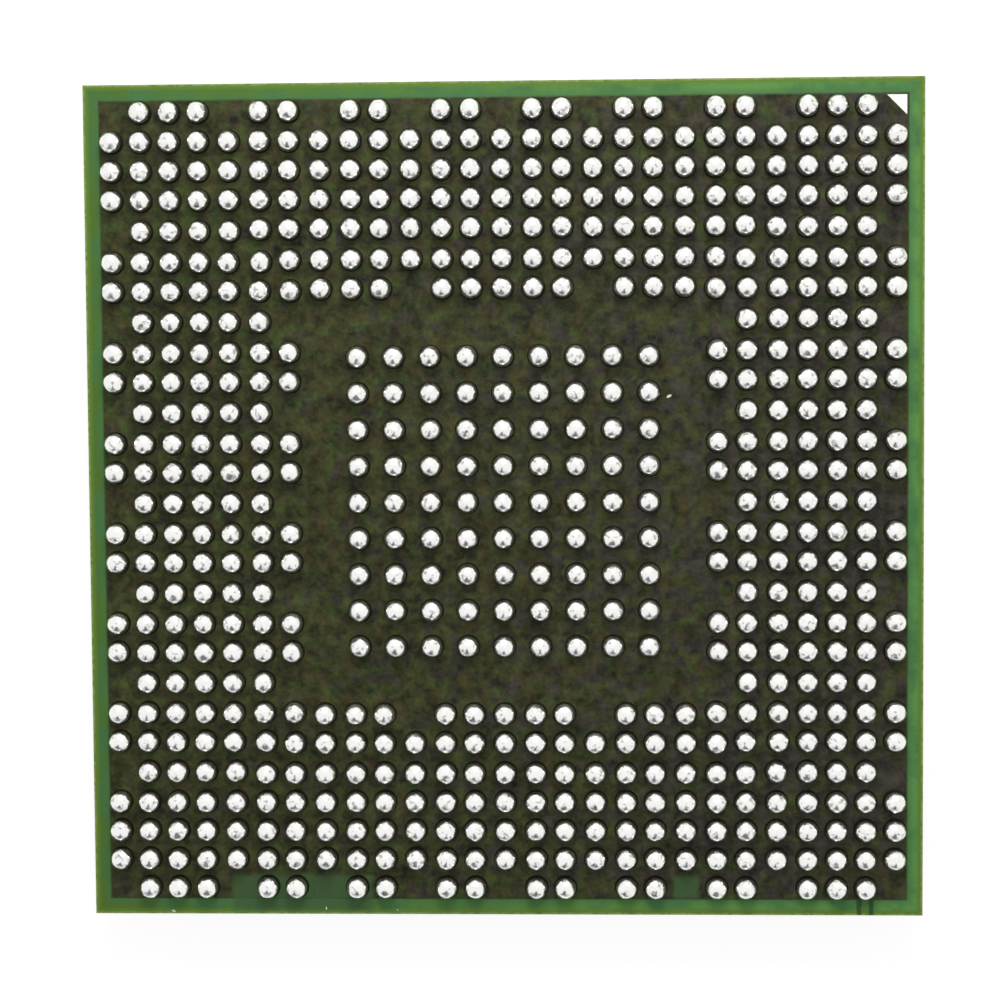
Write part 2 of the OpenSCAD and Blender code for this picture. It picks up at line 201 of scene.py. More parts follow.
class SubstrateSettings(bpy.types.PropertyGroup):
    """Colours of the laminate, its copper, its two masks and its marks."""

    field: colour_property("Mask over copper", "Ball-side mask where copper lies under it", "3a371e")
    field_green: colour_property("Greener patches", "Clouds in the mask over copper", "37431f")
    field_grey: colour_property("Greyer patches", "Second clouds in the mask over copper", "38342d")
    border: colour_property("Mask over film", "Ball-side mask outside the copper plane", "60934b")
    border_olive: colour_property("Yellower border", "The same mask towards -X", "52722a")
    # Besides its clouds, this darker teal paints shade in a band just outside the plane's edge
    border_teal: colour_property("Mask beside copper", "Mask just outside the plane's edge", "467544")
    rim: colour_property("Mask at the cut", "Mask along the sawn edge", "60812f")
    burr: colour_property("Cut fibres", "Frayed glass along the sawn edge", "93a463")
    bare: colour_property("Mask over a gap", "Mask where the plane is cut back", "43603a")
    tail: colour_property("Mask over a tail", "Mask over the plating tails", "2a4a22")
    die_mask: colour_property("Die-side mask", "Die-side mask over copper", "2f4a2c")
    die_border: colour_property("Die-side border", "Die-side mask outside the copper plane", "447a42")
    film: colour_property("Build-up film", "Sawn edge of the build-up film", "6d7a4a")
    core: colour_property("Core", "Sawn edge of the glass-cloth core", "aaa671")
    glass: colour_property("Glass fibre", "Fibre ends in the sawn edge", "dddcc2")
    plug: colour_property("Plug resin", "Resin in the plated holes", "8b8a78")
    copper: colour_property("Copper", "Copper of the planes, tails and barrels", "b87850")
    pad: colour_property("Pad", "Finish on the pads", "c9a25a")
    tin: colour_property("Tin", "Tinned index triangle", "f5f4ee")
    ink: colour_property("Ink", "Index mark on the die side", "e9e9e2")


class DieSettings(bpy.types.PropertyGroup):
    """Colours of the die and its underfill."""

    silicon: colour_property("Silicon", "Ground back of the die", "6f747c")
    underfill: colour_property("Underfill", "Resin fillet round the die", "23211f")


class CapacitorSettings(bpy.types.PropertyGroup):
    """Sizes, places and colours of the chip capacitors beside the die."""

    length: length_property("Length", "Length of a capacitor", 1.0 * MM)
    width: length_property("Width", "Width of a capacitor", 0.5 * MM)
    height: length_property("Height", "Height of a capacitor", 0.5 * MM)
    end_length: length_property("End", "Length of the metal on each end", 0.22 * MM)
    plating: length_property("Plating", "Thickness of the metal on the ends", 20 * UM)
    pitch: length_property("Spacing", "Distance between neighbours along the die", 2.4 * MM)
    row_x: length_property("Side rows", "Distance of the rows along Y from the middle", 6.3 * MM)
    row_y: length_property("Other rows", "Distance of the rows along X from the middle", 6.0 * MM)
    toe: length_property("Toe", "Length of the solder in front of an end", 0.2 * MM)
    lift: length_property("Lift", "Solder under an end", 20 * UM)
    rounding: length_property("Rounding", "Radius of the tumbled ceramic edges", 30 * UM)
    ceramic: colour_property("Ceramic", "Capacitor bodies", "9c7350")
    end: colour_property("Capacitor end", "Tinned capacitor ends", "d6d5d0")


class FlakeSettings(bpy.types.PropertyGroup):
    """The pale flakes of dust on the mask."""

    count: count_property("Flakes", "How many flakes lie on the mask", 4, 1, len(FLAKE_PLACES))
    length: length_property("Length", "Length of the longest flake", 0.15 * MM)
    thickness: length_property("Thickness", "Thickness of a flake", 12 * UM)
    seed: count_property("Seed", "Which uneven outlines the flakes take", 3)
    pale: colour_property("Flake", "Colour of the flakes", "e6e8dc")


class StageSettings(bpy.types.PropertyGroup):
    """The floor, the light and the camera."""

    sky: FloatProperty(name="Sky", description="Strength of the even light", default=0.55, min=0)
    lamp_power: FloatProperty(
        name="Lamp", description="Power of the lamp behind the package", default=0.019, min=0,
        unit="POWER", precision=6,
    )
    dark_card: FloatProperty(
        name="Dark card", description="Brightness of the dark card that the balls mirror",
        default=0.02, min=0, max=1,
    )
    floor_tone: FloatProperty(
        name="Floor", description="Brightness of the floor's surface", default=0.3, min=0, max=1
    )
    lens: FloatProperty(
        name="Lens", description="Focal length of the camera", default=90, unit="CAMERA"
    )


# ---------------------------------------------------------------- nodes


def place(tree, kind, inputs=None, **settings):
    """Adds a shader node with its settings. Each input is a value, or another node's output to link."""
    made = tree.nodes.new("ShaderNode" + kind)
    for name, value in settings.items():
        setattr(made, name, value)
    for name, value in (inputs or {}).items():
        if isinstance(value, bpy.types.NodeSocket):
            tree.links.new(value, made.inputs[name])
        else:
            made.inputs[name].default_value = value
    return made


def calc(tree, operation, *values, clamp=False):
    """A Math node's result."""
    return place(tree, "Math", dict(enumerate(values)), operation=operation, use_clamp=clamp).outputs[0]


def rise(tree, value, low, high):
    """0 below low and 1 above high, smooth between them."""
    inputs = {"Value": value, "From Min": low, "From Max": high}
    return place(tree, "MapRange", inputs, interpolation_type="SMOOTHSTEP").outputs["Result"]


def mix(tree, factor, first, second, kind="MIX"):
    """A colour mix: the first colour at 0 and the second at 1."""
    colours = [v if isinstance(v, bpy.types.NodeSocket) else (*v[:3], 1) for v in (first, second)]
    inputs = {0: factor, 6: colours[0], 7: colours[1]}
    return place(tree, "Mix", inputs, data_type="RGBA", blend_type=kind).outputs[2]


def noise(tree, where, scale, detail=2.0, roughness=0.5):
    """A noise pattern's strength, with its scale in steps per metre."""
    inputs = {"Vector": where, "Scale": scale, "Detail": detail, "Roughness": roughness}
    return place(tree, "TexNoise", inputs).outputs["Fac"]


def grey(tree, value):
    """A grey whose three parts are all one value."""
    return place(tree, "CombineColor", {0: value, 1: value, 2: value}).outputs[0]


def squeezed(tree, where, times):
    """The place, with a pattern on it squeezed along Z that many times."""
    return place(tree, "Mapping", {"Vector": where, "Scale": (1.0, 1.0, times)}).outputs["Vector"]


def wandering(tree, where, reach):
    """The place, pushed about a little in its plane, so that straight marks waver."""
    wander = place(tree, "TexNoise", {"Vector": where, "Scale": 3500.0, "Detail": 3.0}).outputs["Color"]
    shift = place(tree, "VectorMath", {0: wander, 1: (0.5, 0.5, 0.5)}, operation="SUBTRACT").outputs[0]
    inputs = {0: shift, 1: (reach, reach, 0), 2: where}
    return place(tree, "VectorMath", inputs, operation="MULTIPLY_ADD").outputs[0]


def rectangle(tree, parts, x, y, half_x, half_y, soft):
    """1 inside a rectangle and 0 outside it, with a soft edge."""
    across = calc(tree, "ABSOLUTE", calc(tree, "SUBTRACT", parts["X"], x))
    down = calc(tree, "ABSOLUTE", calc(tree, "SUBTRACT", parts["Y"], y))
    within_x = rise(tree, across, half_x + soft, half_x - soft)
    within_y = rise(tree, down, half_y + soft, half_y - soft)
    return calc(tree, "MULTIPLY", within_x, within_y)


def relief(tree, height, distance, strength=1.0, below=None):
    """A normal that shows a height map, with its depth in metres."""
    inputs = {"Height": height, "Distance": distance, "Strength": strength}
    if below is not None:
        inputs["Normal"] = below
    return place(tree, "Bump", inputs).outputs["Normal"]


def make_group(name, inputs, outputs):
    """An empty shader node group. Each input is (name, kind, default) and each output (name, kind)."""
    group = bpy.data.node_groups.new(name, "ShaderNodeTree")
    for label, kind, default in inputs:
        socket = group.interface.new_socket(name=label, in_out="INPUT", socket_type="NodeSocket" + kind)
        socket.default_value = default
    for label, kind in outputs:
        group.interface.new_socket(name=label, in_out="OUTPUT", socket_type="NodeSocket" + kind)
    given = group.nodes.new("NodeGroupInput").outputs
    wanted = group.nodes.new("NodeGroupOutput").inputs
    return group, given, wanted


def use_group(tree, name, inputs):
    """The outputs of a shared node group placed in a material with its own values."""
    made = tree.nodes.new("ShaderNodeGroup")
    made.node_tree = bpy.data.node_groups.get(name) or GROUP_MAKERS[name]()
    for label, value in inputs.items():
        if isinstance(value, bpy.types.NodeSocket):
            tree.links.new(value, made.inputs[label])
        else:
            made.inputs[label].default_value = (*value, 1) if hasattr(value, "__len__") else value
    return made.outputs


def clouded_group():
    """Clouds and fine grain over a base colour, for resin, mask and ceramic."""
    group, given, wanted = make_group(
        "clouded_surface",
        [("Base", "Color", (1, 1, 1, 1)), ("Cloud", "Color", (1, 1, 1, 1)),
         ("Cloud Size", "Float", MM), ("Grain Size", "Float", 0.05 * MM), ("Grain", "Float", 0.1)],
        [("Color", "Color"), ("Height", "Float")],
    )
    where = place(group, "TexCoord").outputs["Object"]
    cloud_scale = calc(group, "DIVIDE", 1.0, given["Cloud Size"])
    grain_scale = calc(group, "DIVIDE", 1.0, given["Grain Size"])
    clouds = noise(group, where, cloud_scale, detail=3.0, roughness=0.6)
    grain = noise(group, where, grain_scale, roughness=0.7)
    clouded = mix(group, rise(group, clouds, 0.38, 0.66), given["Base"], given["Cloud"])
    shade = calc(group, "MULTIPLY_ADD", calc(group, "SUBTRACT", grain, 0.5), given["Grain"], 1.0)
    group.links.new(mix(group, 1.0, clouded, grey(group, shade), "MULTIPLY"), wanted["Color"])
    group.links.new(grain, wanted["Height"])
    return group


def scuffed_group():
    """Dendrites, dulled patches and small knocks on solder and tin."""
    group, given, wanted = make_group(
        "scuffed_metal",
        [("Bright", "Color", (1, 1, 1, 1)), ("Dull", "Color", (0.5, 0.5, 0.5, 1)),
         ("Size", "Float", 0.2 * MM), ("Roughness Low", "Float", 0.2),
         ("Roughness High", "Float", 0.5)],
        [("Color", "Color"), ("Roughness", "Float"), ("Height", "Float")],
    )
    where = place(group, "TexCoord").outputs["Object"]
    scale = calc(group, "DIVIDE", 1.0, given["Size"])
    knocks = noise(group, where, scale, detail=1.5)
    grain = noise(group, where, calc(group, "MULTIPLY", scale, 6.0), roughness=0.6)
    patches = rise(group, noise(group, where, calc(group, "MULTIPLY", scale, 1.7)), 0.58, 0.72)
    group.links.new(mix(group, patches, given["Bright"], given["Dull"]), wanted["Color"])
    low, high = given["Roughness Low"], given["Roughness High"]
    rough = calc(group, "MULTIPLY_ADD", grain, calc(group, "SUBTRACT", high, low), low)
    group.links.new(rough, wanted["Roughness"])
    group.links.new(calc(group, "MULTIPLY_ADD", grain, 0.03, knocks), wanted["Height"])
    return group


def square_edge_group():
    """How far a place lies inside a square centred on the part, with a slightly wavering edge."""
    group, given, wanted = make_group(
        "square_edge",
        [("Half Side", "Float", 10 * MM), ("Waver", "Float", 0.02 * MM)],
        [("Inside", "Float")],
    )
    where = place(group, "TexCoord").outputs["Object"]
    parts = place(group, "SeparateXYZ", {0: where}).outputs
    aside, ahead = calc(group, "ABSOLUTE", parts["X"]), calc(group, "ABSOLUTE", parts["Y"])
    far = calc(group, "MAXIMUM", aside, ahead)
    waver = calc(group, "SUBTRACT", noise(group, where, 4000.0), 0.5)
    inside = calc(group, "SUBTRACT", given["Half Side"], far)
    group.links.new(calc(group, "MULTIPLY_ADD", waver, given["Waver"], inside), wanted["Inside"])
    return group


# Each shared group is made when a material first uses it
GROUP_MAKERS = {
    "clouded_surface": clouded_group,
    "scuffed_metal": scuffed_group,
    "square_edge": square_edge_group,
}


def start_material(name, **sockets):
    """A new material, its tree and its Principled shader, with plain values on the shader's sockets."""
    material = bpy.data.materials.new(name)
    material.use_nodes = True
    shader = material.node_tree.nodes["Principled BSDF"]
    for label, value in sockets.items():
        shader.inputs[label.replace("_", " ")].default_value = value
    return material, material.node_tree, shader


def feed(tree, shader, **sources):
    """Links outputs of nodes to the shader's sockets."""
    for label, source in sources.items():
        tree.links.new(source, shader.inputs[label.replace("_", " ")])


# ---------------------------------------------------------------- the grid


def gap_inside(line):
    """The distance from a line of the grid to the next one in, along an edge of the ring."""
    return CHANNEL_PITCH if line <= LAST_CHANNEL and line % 3 < 2 else FINE_PITCH


def line_at(line):
    """How far a line of the grid lies from the middle, along an edge of the ring."""
    return sum(gap_inside(k) for k in range(1, line + 1)) if line else 0.0


def ring_at(line):
    """How far a line of the grid lies from the middle, across the ring."""
    channel = CHANNEL_PITCH - FINE_PITCH if line <= RING_CHANNEL else 0.0
    return line_at(LAST_LINE) - (LAST_LINE - line) * FINE_PITCH - channel


def along_line(across, down):
    """The signed place of a ball along its row, from the two line numbers of its site."""
    place_of = ring_at if abs(across) > abs(down) else line_at
    return math.copysign(place_of(abs(across)), across)


def has_ball(across, down):
    """Whether a site of the ring carries a ball."""
    far, near = max(abs(across), abs(down)), min(abs(across), abs(down))
    # The outermost line has no ball on every third line, nor at the corners
    outer_gap = near == LAST_LINE or (near < LAST_LINE - 3 and near % 3 == 0)
    # The innermost line has fewer gaps along X than along Y
    inner_gap = abs(across) == 3 if abs(down) == FIRST_LINE else abs(down) % 3 == 0
    missing = (far == LAST_LINE and outer_gap) or (far == FIRST_LINE and inner_gap)
    return far >= FIRST_LINE and not missing


def ring_rows():
    """The name of each ring row and the places of its balls."""
    for index, letters in enumerate(ROW_LETTERS):
        down = LAST_LINE - index
        sites = [c for c in range(-LAST_LINE, LAST_LINE + 1) if has_ball(c, down)]
        yield "balls_row_" + letters, [(along_line(c, down), along_line(down, c)) for c in sites]


def centre_rows():
    """The name of each centre row and the places of its balls."""
    span = range(-CENTRE_LAST, CENTRE_LAST + 1)
    for index in range(2 * CENTRE_LAST + 1):
        y = (CENTRE_LAST - index) * CENTRE_PITCH
        yield f"centre_balls_row_{index + 1}", [(c * CENTRE_PITCH, y) for c in span]


# ---------------------------------------------------------------- modelling


def clear_selection():
    """Deselects everything, so that the next operator acts on the new piece alone."""
    if bpy.context.object and bpy.context.object.mode != "OBJECT":
        bpy.ops.object.mode_set(mode="OBJECT")
    bpy.ops.object.select_all(action="DESELECT")


def pick(piece, part, test):
    """Selects in edit mode the vertices or faces of a piece that pass a test, and nothing else."""
    bpy.ops.object.mode_set(mode="EDIT")
    bpy.ops.mesh.select_all(action="DESELECT")
    bpy.ops.mesh.select_mode(type="VERT" if part == "vertices" else "FACE")
    bpy.ops.object.mode_set(mode="OBJECT")
    for item in getattr(piece.data, part):
        item.select = test(item)
    bpy.ops.object.mode_set(mode="EDIT")


def join(pieces):
    """Joins pieces into one, which is left as the context's object."""
    clear_selection()
    for piece in pieces:
        piece.select_set(True)
    bpy.context.view_layer.objects.active = pieces[0]
    bpy.ops.object.transform_apply(location=True, rotation=True, scale=True)
    bpy.ops.object.join()


def finish_piece(piece, name, material, slot, angle=180):
    """Names a piece, gives it its finish and shading, and lets it ride on the package.

    Edges that turn by less than the angle, in degrees, are shaded smooth.
    """
    clear_selection()
    piece.name = name
    piece.data.name = name
    piece.data.materials.clear()
    piece.data.materials.append(material)
    piece.select_set(True)
    bpy.context.view_layer.objects.active = piece
    bpy.ops.object.transform_apply(location=True, rotation=True, scale=True)
    bpy.ops.object.shade_smooth_by_angle(angle=math.radians(angle))
    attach(piece, "root")
    clear_selection()


def model_ball(sizes, number, seat_depth, chance):
    """One reflowed ball about its own centre: cut flat at its pad, uneven, and dented on its crown."""
    clear_selection()
    bpy.ops.mesh.primitive_uv_sphere_add(
        segments=sizes.ball_sides, ring_count=sizes.ball_rings, radius=sizes.ball_radius,
        location=(0, 0, 0),
    )
    ball = bpy.context.object
    ball.name = f"ball_shape_{number}"
    bpy.ops.object.mode_set(mode="EDIT")
    bpy.ops.mesh.select_all(action="SELECT")
    bpy.ops.mesh.bisect(
        plane_co=(0, 0, -seat_depth), plane_no=(0, 0, 1), use_fill=True, clear_inner=True
    )
    pick(ball, "vertices", lambda v: SHOULDER_LOW < v.co.z / sizes.ball_radius < SHOULDER_HIGH)
    full = sizes.shoulder
    bpy.ops.transform.resize(value=(full, full, full), center_override=(0, 0, 0))
    pick(ball, "vertices", lambda v: -seat_depth / 2 < v.co.z < SHOULDER_HIGH * sizes.ball_radius)
    bpy.ops.transform.vertex_random(
        offset=sizes.unevenness, uniform=0.6, normal=0.4, seed=sizes.seed + number
    )
    bpy.ops.object.mode_set(mode="OBJECT")
    crown = [v.index for v in ball.data.vertices if v.co.z > SHOULDER_LOW * sizes.ball_radius]
    for index in chance.sample(crown, DENTS):
        pick(ball, "vertices", lambda v: v.index == index)
        outward = ball.data.vertices[index].co.normalized()
        bpy.ops.transform.translate(
            value=-outward * chance.uniform(SHALLOWEST_DENT, 1) * sizes.dent_depth,
            use_proportional_edit=True, proportional_size=DENT_REACH * sizes.ball_radius,
        )
    clear_selection()
    return ball


def model_shadow_ring(sizes):
    """One uneven dark ring that climbs from the mask to the ball: flux residue, and a painted contact
    shadow round the ball.
    """
    clear_selection()
    outer = sizes.ball_radius + sizes.shadow_ring_reach
    bpy.ops.mesh.primitive_circle_add(
        vertices=sizes.shadow_ring_sides, radius=outer, fill_type="NGON", location=(0, 0, 0)
    )
    ring = bpy.context.object
    ring.name = "residue_shape"
    bpy.ops.object.mode_set(mode="EDIT")
    bpy.ops.mesh.select_all(action="SELECT")
    for width, climb in SHADOW_RING_STEPS:
        bpy.ops.mesh.inset(thickness=width * sizes.shadow_ring_reach)
        bpy.ops.transform.translate(value=(0, 0, climb))
    bpy.ops.mesh.delete(type="FACE")
    pick(ring, "vertices", lambda v: v.co.xy.length > 0.99 * outer)
    bpy.ops.transform.vertex_random(offset=SHADOW_RING_RAGGED, uniform=0, normal=0, seed=sizes.seed)
    clear_selection()
    return ring


def model_block(name, low, high):
    """A box between two corners, left in edit mode with all of it selected."""
    clear_selection()
    middle = [(a + b) / 2 for a, b in zip(low, high)]
    sides = [b - a for a, b in zip(low, high)]
    bpy.ops.mesh.primitive_cube_add(size=1, location=middle, scale=sides)
    block = bpy.context.object
    block.name = name
    bpy.ops.object.transform_apply(location=True, rotation=True, scale=True)
    bpy.ops.object.mode_set(mode="EDIT")
    bpy.ops.mesh.select_all(action="SELECT")
    return block


def model_ceramic(sizes, mask):
    """The ceramic body of a capacitor, with tumbled edges."""
    x, y = sizes.length / 2 - sizes.plating, sizes.width / 2 - sizes.plating
    near = mask - sizes.lift - sizes.plating
    far = mask - sizes.lift - sizes.height + sizes.plating
    body = model_block("ceramic_shape", (-x, -y, far), (x, y, near))
    bpy.ops.mesh.bevel(offset=sizes.rounding, segments=3, affect="EDGES")
    clear_selection()
    return body


def model_end(sizes, mask):
    """One metal end of a capacitor: a thin cup with round edges and a slightly crowned face."""
    inner, outer, half = sizes.length / 2 - sizes.end_length, sizes.length / 2, sizes.width / 2
    near, far = mask - sizes.lift, mask - sizes.lift - sizes.height
    end = model_block("end_shape", (inner, -half, far), (outer, half, near))
    bpy.ops.mesh.bevel(offset=sizes.plating, segments=3, affect="EDGES")
    pick(end, "polygons", lambda f: f.normal.x < -0.999)
    hollow = (sizes.end_length - sizes.plating, 0, 0)
    bpy.ops.mesh.extrude_region_move(TRANSFORM_OT_translate={"value": hollow})
    pick(end, "polygons", lambda f: f.normal.x > 0.999 and f.center.x > outer - UM)
    bpy.ops.mesh.inset(thickness=2 * sizes.plating)
    rim = half - 1.5 * sizes.plating
    pick(end, "vertices", lambda v: v.co.x > outer - UM and abs(v.co.y) > rim)
    bpy.ops.transform.translate(value=(-0.2 * sizes.plating, 0, 0))
    clear_selection()
    return end


def model_fillet(sizes, mask):
    """The solder at one end: a hollow slope up the end's face and a film under the end."""
    start, toe = sizes.length / 2, sizes.length / 2 + sizes.toe
    half = sizes.width / 2
    tall = 1.05 * sizes.toe
    slope = model_block("fillet_shape", (start, -half, mask - tall), (toe, half, mask))
    pick(slope, "vertices", lambda v: v.co.x > toe - UM and v.co.z < mask - sizes.toe)
    bpy.ops.mesh.bevel(offset=0.97 * sizes.toe, segments=6, profile=0.1, affect="EDGES")
    bpy.ops.mesh.select_all(action="SELECT")
    # The slope climbs half of the end's height
    climb = sizes.height / 2 / tall
    bpy.ops.transform.resize(value=(1, 1, climb), center_override=(0, 0, mask))
    pick(slope, "vertices", lambda v: v.co.z > mask - UM)
    bpy.ops.transform.translate(value=(0, 0, sizes.lift))
    clear_selection()
    low = (start - sizes.end_length, -half, mask - sizes.lift)
    film = model_block("fillet_film", low, (start, half, mask + sizes.lift))
    bpy.ops.mesh.bevel(offset=0.2 * sizes.lift, segments=1, affect="EDGES")
    join([slope, film])
    return bpy.context.object


def model_flake(sizes, length, number):
    """One thin uneven flake about its own centre, with a flat underside."""
    clear_selection()
    bpy.ops.mesh.primitive_circle_add(
        vertices=FLAKE_CORNERS, radius=length / 2, fill_type="NGON", location=(0, 0, 0)
    )
    flake = bpy.context.object
    flake.name = f"flake_shape_{number}"
    bpy.ops.object.mode_set(mode="EDIT")
    bpy.ops.mesh.select_all(action="SELECT")
    bpy.ops.transform.resize(value=(1, FLAKE_SLIMNESS, 1), center_override=(0, 0, 0))
    bpy.ops.mesh.extrude_region_move(TRANSFORM_OT_translate={"value": (0, 0, sizes.thickness)})
    bpy.ops.transform.resize(value=(*FLAKE_TOP, 1), center_override=(0, 0, 0))
    bpy.ops.mesh.select_all(action="SELECT")
    bpy.ops.transform.vertex_random(
        offset=FLAKE_RAGGED * length, uniform=0.5, normal=0, seed=sizes.seed + number
    )
    pick(flake, "vertices", lambda v: v.co.z < sizes.thickness / 3)
    bpy.ops.transform.resize(value=(1, 1, 0), center_override=(0, 0, 0))
    bpy.ops.mesh.select_all(action="SELECT")
    bpy.ops.mesh.normals_make_consistent(inside=False)
    clear_selection()
    return flake


def copy_of(master, name, x, y, z, turn):
    """A copy of a modelled shape with its own mesh, turned and set on its site."""
    copy = bpy.data.objects.new(name, master.data.copy())
    bpy.context.scene.collection.objects.link(copy)
    copy.location = (x, y, z)
    copy.rotation_euler = (0, 0, turn)
    return copy


def lighter_copy(node, name, share):
    """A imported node's own shape with fewer triangles round its many small openings."""
    clear_selection()
    sheet = bpy.data.objects.new(name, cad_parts[node].data.copy())
    bpy.context.scene.collection.objects.link(sheet)
    sheet.select_set(True)
    bpy.context.view_layer.objects.active = sheet
    bpy.ops.object.mode_set(mode="EDIT")
    bpy.ops.mesh.select_all(action="SELECT")
    bpy.ops.mesh.remove_doubles(threshold=0.1 * UM)
    bpy.ops.object.mode_set(mode="OBJECT")
    fewer = sheet.modifiers.new("fewer", "DECIMATE")
    fewer.ratio = share
    bpy.ops.object.modifier_apply(modifier=fewer.name)
    return sheet


# ---------------------------------------------------------------- finishes


def metal_finish(name, bright, dull, rough, depth, size=0.1 * MM, strength=0.5):
    """Bright metal with dulled patches and small knocks of a size and depth.

    rough is the lowest and the highest roughness.
    """
    material, tree, shader = start_material(name, Metallic=1.0)
    out = use_group(tree, "scuffed_metal", {
        "Bright": bright, "Dull": dull, "Size": size,
        "Roughness Low": rough[0], "Roughness High": rough[1],
    })
    normal = relief(tree, out["Height"], depth, strength)
    feed(tree, shader, Base_Color=out["Color"], Roughness=out["Roughness"], Normal=normal)
    return material


def mask_over_copper(tree, moved, side, colours):
    """The mask's colour over a copper plane, in three clouded tones with blotches, and its grain."""
    out = use_group(tree, "clouded_surface", {
        "Base": colours["field"], "Cloud": colours["green"], "Cloud Size": 0.45 * MM,
        "Grain Size": 0.07 * MM, "Grain": 0.5,
    })
    # Fewer grey patches lie towards -X
    patches = noise(tree, moved, 2300.0, detail=3.0, roughness=0.6)
    greyed = rise(tree, calc(tree, "MULTIPLY_ADD", side, -0.16, patches), 0.39, 0.57)
    clouded = mix(tree, greyed, out["Color"], colours["grey"])
    # The blotches run from well below to well above the plain tone
    blotches = noise(tree, moved, 3400.0, detail=3.0, roughness=0.6)
    blotched = grey(tree, calc(tree, "MULTIPLY_ADD", blotches, 4.2, -1.15))
    return mix(tree, 0.8, clouded, blotched, "MULTIPLY"), out["Height"]


def mask_over_film(tree, where, side, inside, to_cut, colours):
    """The mask's colour outside a copper plane, up to the rim and the frayed fibres at the cut, with
    painted shade along the plane's edge.
    """
    out = use_group(tree, "clouded_surface", {
        "Base": mix(tree, side, colours["border"], colours["olive"]), "Cloud": colours["teal"],
        "Cloud Size": 1.1 * MM, "Grain Size": 0.08 * MM, "Grain": 0.35,
    })
    # Beside the plane the mask turns darker teal: a bluer tone with painted shade
    near_plane = calc(tree, "MULTIPLY", rise(tree, inside, *BESIDE_SPAN), 0.7)
    beside = mix(tree, near_plane, out["Color"], colours["teal"])
    rimmed = mix(tree, rise(tree, to_cut, *RIM_SPAN), beside, colours["rim"])
    fibres = rise(tree, noise(tree, where, 7000.0, detail=4.0, roughness=0.75), 0.36, 0.56)
    frayed = calc(tree, "MULTIPLY", rise(tree, to_cut, *FRAY_SPAN), fibres)
    # A painted shadow line just outside the plane's edge, in the dark tone of the mask over copper
    edge_shadow = calc(tree, "MULTIPLY", rise(tree, inside, *EDGE_SHADOW_SPAN), 0.5)
    return mix(tree, edge_shadow, mix(tree, frayed, rimmed, colours["burr"]), colours["field"])


def mask_finish(name, colours, plane_half, body_half, gaps=(), strips=()):
    """Solder mask: dark over the copper plane, green outside it and olive along the sawn edge.

    gaps are rectangles where the plane is cut back, and strips are rectangles with copper, both as
    (x, y, half x, half y).
    """
    material, tree, shader = start_material(name, Specular_IOR_Level=0.15)
    where = place(tree, "TexCoord").outputs["Object"]
    moved = wandering(tree, where, 0.2 * MM)
    parts = place(tree, "SeparateXYZ", {0: moved}).outputs
    inside = use_group(tree, "square_edge", {"Half Side": plane_half, "Waver": 0.03 * MM})["Inside"]
    to_cut = use_group(tree, "square_edge", {"Half Side": body_half, "Waver": 0.04 * MM})["Inside"]
    copper = rise(tree, inside, *COPPER_SPAN)
    side = rise(tree, parts["X"], body_half, -body_half)
    field, grain = mask_over_copper(tree, moved, side, colours)
    surface = mix(tree, copper, mask_over_film(tree, where, side, inside, to_cut, colours), field)
    for marks, soft, label in ((gaps, 0.11 * MM, "bare"), (strips, 0.03 * MM, "tail")):
        for x, y, half_x, half_y in marks:
            mark = calc(tree, "MULTIPLY", rectangle(tree, parts, x, y, half_x, half_y, soft), 0.85)
            surface = mix(tree, mark, surface, colours[label])
    gloss = noise(tree, where, 2500.0, detail=3.0, roughness=0.6)
    dulled = calc(tree, "MULTIPLY_ADD", gloss, 0.2, 0.36)
    normal = relief(tree, copper, 10 * UM, 0.7, below=relief(tree, grain, 1.5 * UM, 0.5))
    feed(tree, shader, Base_Color=surface, Roughness=dulled, Normal=normal)
    return material


def laminate_finish(name, base, fibre, yarn, depth):
    """A sawn edge of resin with the ends of woven yarns in it, each a lens of a width and height."""
    material, tree, shader = start_material(name, Specular_IOR_Level=0.35, Roughness=0.72)
    yarn_width, yarn_height = yarn
    where = place(tree, "TexCoord").outputs["Object"]
    parts = place(tree, "SeparateXYZ", {0: where}).outputs
    sway = calc(tree, "MULTIPLY", calc(tree, "SUBTRACT", noise(tree, where, 900.0), 0.5), 0.9)
    along = calc(tree, "DIVIDE", calc(tree, "ADD", parts["X"], parts["Y"]), yarn_width)
    up = calc(tree, "ADD", calc(tree, "DIVIDE", parts["Z"], yarn_height), sway)
    edge = place(tree, "CombineXYZ", {0: along, 1: up}).outputs[0]
    cells = {"Vector": edge, "Scale": 1.0, "Randomness": 0.45}
    lens = place(tree, "TexVoronoi", cells, voronoi_dimensions="2D").outputs["Distance"]
    ends = noise(tree, squeezed(tree, where, 2.5), 26000.0, detail=3.0, roughness=0.75)
    drawn = noise(tree, squeezed(tree, where, 14.0), 2600.0, detail=3.0, roughness=0.65)
    glass = calc(tree, "MULTIPLY_ADD", rise(tree, ends, 0.36, 0.6), 0.5, 0.3)
    yarns = calc(tree, "MULTIPLY", rise(tree, lens, 0.52, 0.28), glass)
    smears = calc(tree, "MULTIPLY", rise(tree, drawn, 0.46, 0.66), 0.45)
    streaks = calc(tree, "MAXIMUM", yarns, smears)
    out = use_group(tree, "clouded_surface", {
        "Base": base, "Cloud": scaled(base, 0.82), "Cloud Size": 1.6 * MM, "Grain Size": 0.03 * MM,
        "Grain": 0.3,
    })
    surface = mix(tree, streaks, out["Color"], fibre)
    feed(tree, shader, Base_Color=surface, Normal=relief(tree, streaks, depth, 0.8))
    return material


def resin_finish(name, base, cloud, roughness, grain=0.2, specular=0.5):
    """Resin, ink or ceramic with a fine grain, and clouds darker or lighter by a factor."""
    material, tree, shader = start_material(name, Roughness=roughness, Specular_IOR_Level=specular)
    out = use_group(tree, "clouded_surface", {
        "Base": base, "Cloud": scaled(base, cloud), "Cloud Size": 0.9 * MM, "Grain Size": 0.03 * MM,
        "Grain": grain,
    })
    feed(tree, shader, Base_Color=out["Color"], Normal=relief(tree, out["Height"], 2 * UM, 0.6))
    return material


